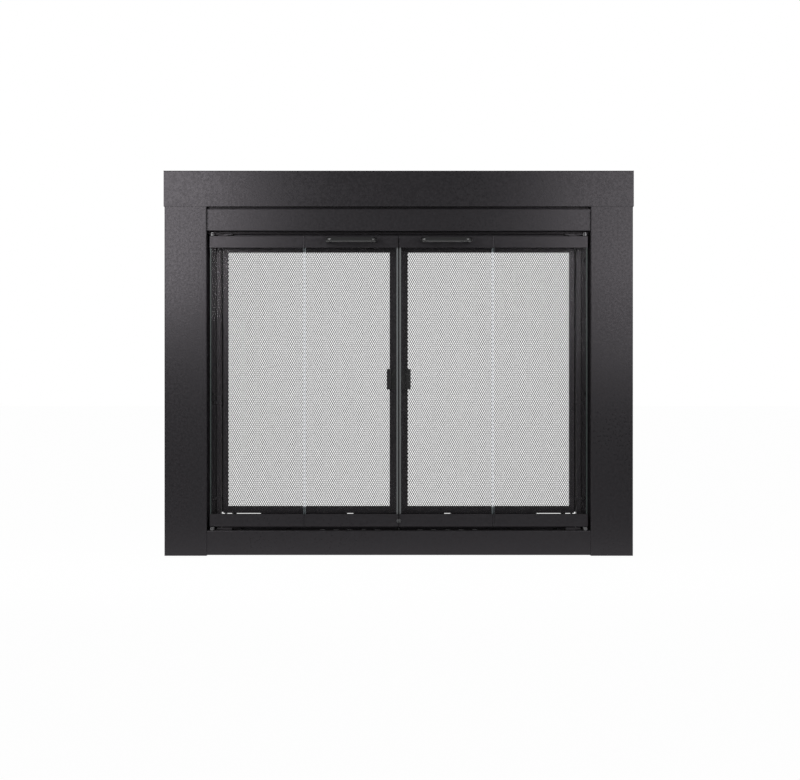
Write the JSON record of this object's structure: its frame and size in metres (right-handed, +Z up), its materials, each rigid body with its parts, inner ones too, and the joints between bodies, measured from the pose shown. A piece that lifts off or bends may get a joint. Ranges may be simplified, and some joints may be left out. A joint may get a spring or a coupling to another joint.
{
  "type": "fireplace glass door",
  "caption": "Black steel fireplace surround with folding glass doors, hinged mesh screens, rod pulls, pivot brackets, sliding air damper and mounting brackets.",
  "frame": {"origin": "centre of the width on the hearth, in the plane of the wall that the surround's back seats on", "axes": "+Z up, +X to the right of someone who faces the doors, +Y into the fireplace; the front faces -Y"},
  "size_m": [0.9524, 0.124, 0.7805],
  "materials": {
    "black_steel": "satin black powder coat with a fine texture",
    "black_rod": "semi-gloss black",
    "clear_glass": "clear tempered glass with green edges",
    "zinc_steel": "zinc plated",
    "steel_bush": "dull sintered steel",
    "black_screw": "black oxide steel",
    "seat_rubber": "matt black",
    "mesh_wire": "satin black woven wire",
    "grey_bumper": "dark grey moulded plastic"
  },
  "bodies": {
    "surround": {"header": "black_steel", "left_post": "black_steel", "right_post": "black_steel", "bottom_rail": "black_steel", "valance_panel": "black_steel", "top_channel": "black_steel", "screen_sill": "black_steel", "left_jamb": "black_steel", "right_jamb": "black_steel", "jamb_clips": "black_steel", "corner_brackets": "black_steel", "frame_screws": "black_screw", "floor_brackets": "black_steel", "lintel_clamps": "black_steel", "lintel_jaws": "black_steel", "lintel_bolts": "zinc_steel", "upper_pivot_brackets": "black_steel", "lower_pivot_brackets": "black_steel", "pivot_bushes": "steel_bush", "pivot_set_screws": "zinc_steel", "screen_hinge_brackets": "black_steel", "damper_guides": "zinc_steel"},
    "damper": {"damper_slide": "zinc_steel", "damper_knob": "black_rod"},
    "left_outer_door": {"left_outer_glass": "clear_glass", "left_outer_top_rail": "black_steel", "left_outer_bottom_rail": "black_steel", "left_outer_glass_seats": "seat_rubber", "left_pivot_pins": "zinc_steel", "left_outer_hinge_leaves": "black_steel"},
    "left_inner_door": {"left_inner_glass": "clear_glass", "left_inner_top_rail": "black_steel", "left_inner_bottom_rail": "black_steel", "left_inner_glass_seats": "seat_rubber", "left_inner_hinge_leaves": "black_steel", "left_handle": "black_rod", "left_handle_screws": "zinc_steel", "left_centre_bumper": "grey_bumper"},
    "left_screen": {"left_screen_frame": "black_steel", "left_screen_mesh": "mesh_wire", "left_screen_pull": "black_rod", "left_screen_pins": "zinc_steel"},
    "right_outer_door": {"right_outer_glass": "clear_glass", "right_outer_top_rail": "black_steel", "right_outer_bottom_rail": "black_steel", "right_outer_glass_seats": "seat_rubber", "right_pivot_pins": "zinc_steel", "right_outer_hinge_leaves": "black_steel"},
    "right_inner_door": {"right_inner_glass": "clear_glass", "right_inner_top_rail": "black_steel", "right_inner_bottom_rail": "black_steel", "right_inner_glass_seats": "seat_rubber", "right_inner_hinge_leaves": "black_steel", "right_handle": "black_rod", "right_handle_screws": "zinc_steel", "right_centre_bumper": "grey_bumper"},
    "right_screen": {"right_screen_frame": "black_steel", "right_screen_mesh": "mesh_wire", "right_screen_pull": "black_rod", "right_screen_pins": "zinc_steel"}
  },
  "joints": [
    {"name": "left_door_pivot", "type": "hinge", "parent": "surround", "child": "left_outer_door", "pos_m": [-0.37905, -0.0255, 0.35385], "axis": [0, 0, -1], "range_deg": [0, 90]},
    {"name": "left_door_fold", "type": "hinge", "parent": "left_outer_door", "child": "left_inner_door", "pos_m": [-0.19228, -0.032, 0.35385], "axis": [0, 0, -1], "range_deg": [0, 135]},
    {"name": "left_screen_swing", "type": "hinge", "parent": "surround", "child": "left_screen", "pos_m": [-0.35405, 0.0025, 0.35965], "axis": [0, 0, -1], "range_deg": [0, 81]},
    {"name": "right_door_pivot", "type": "hinge", "parent": "surround", "child": "right_outer_door", "pos_m": [0.37905, -0.0255, 0.35385], "axis": [0, 0, 1], "range_deg": [0, 90]},
    {"name": "right_door_fold", "type": "hinge", "parent": "right_outer_door", "child": "right_inner_door", "pos_m": [0.19228, -0.032, 0.35385], "axis": [0, 0, 1], "range_deg": [0, 135]},
    {"name": "right_screen_swing", "type": "hinge", "parent": "surround", "child": "right_screen", "pos_m": [0.35405, 0.0025, 0.35965], "axis": [0, 0, 1], "range_deg": [0, 81]},
    {"name": "damper_travel", "type": "slide", "parent": "surround", "child": "damper", "axis": [1, 0, 0], "range_m": [0, 0.014]}
  ],
  "couplings": [
    {"joint": "left_screen_swing", "follows": "left_door_pivot", "ratio": 0.9},
    {"joint": "right_screen_swing", "follows": "right_door_pivot", "ratio": 0.9}
  ]
}
